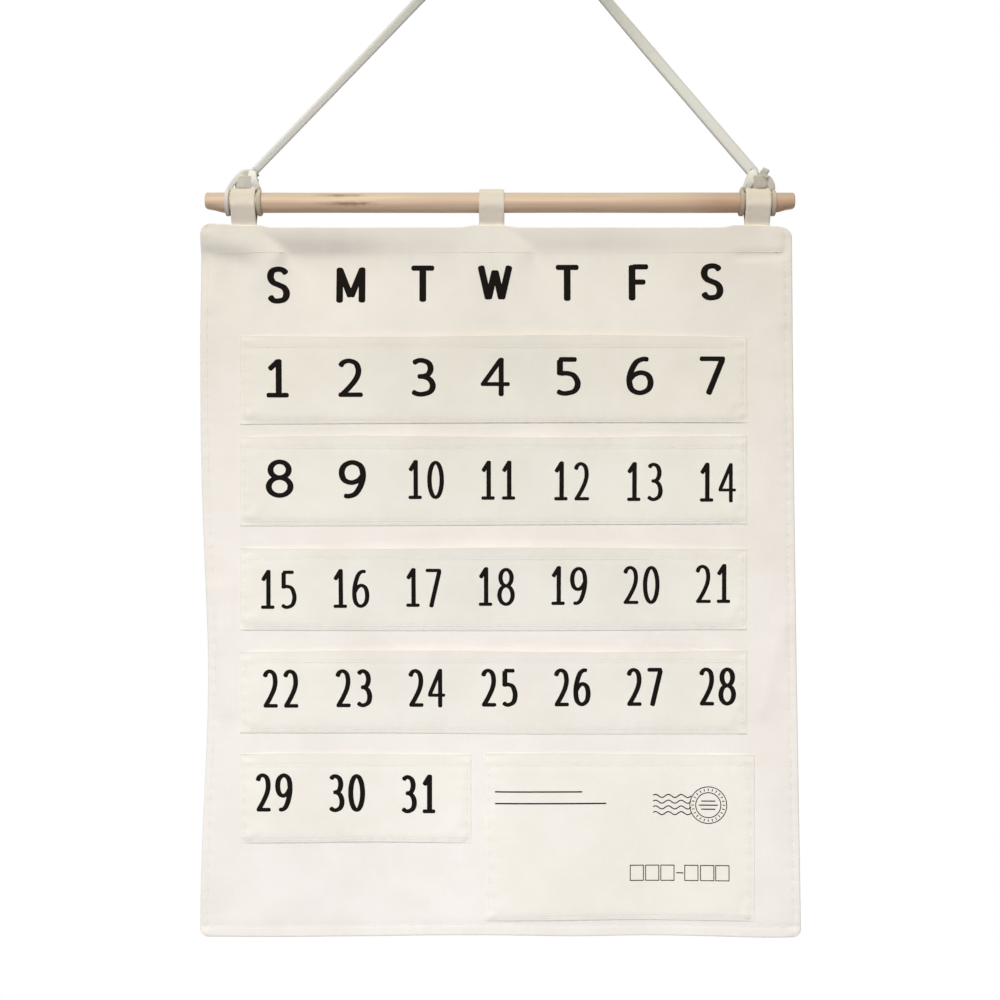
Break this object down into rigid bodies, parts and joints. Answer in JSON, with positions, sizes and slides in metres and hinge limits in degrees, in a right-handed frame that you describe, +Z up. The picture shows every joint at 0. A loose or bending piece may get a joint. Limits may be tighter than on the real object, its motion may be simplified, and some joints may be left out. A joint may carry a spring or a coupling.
{
  "type": "calendar pocket chart",
  "caption": "Hanging cloth calendar with long sewn pockets and a letter pocket, on a wooden dowel carried by cloth tabs and a tied tape.",
  "frame": {"origin": "where the hanging tape rests on its nail, at the underside of the tape's bight", "axes": "+Z up, the chart faces -Y, +X to the viewer's right"},
  "size_m": [0.3558, 0.0201, 0.6138],
  "materials": {
    "cloth": "natural cotton and linen, plain weave",
    "wood": "bare turned pine",
    "tape": "soft woven cotton tape"
  },
  "bodies": {
    "root": {"backing_cloth": "cloth", "pocket_row_1": "cloth", "pocket_row_2": "cloth", "pocket_row_3": "cloth", "pocket_row_4": "cloth", "pocket_row_5": "cloth", "letter_pocket": "cloth", "tab_left": "cloth", "tab_middle": "cloth", "tab_right": "cloth", "dowel": "wood", "hanging_tape": "tape", "knot_left": "tape", "knot_right": "tape"}
  },
  "joints": []
}
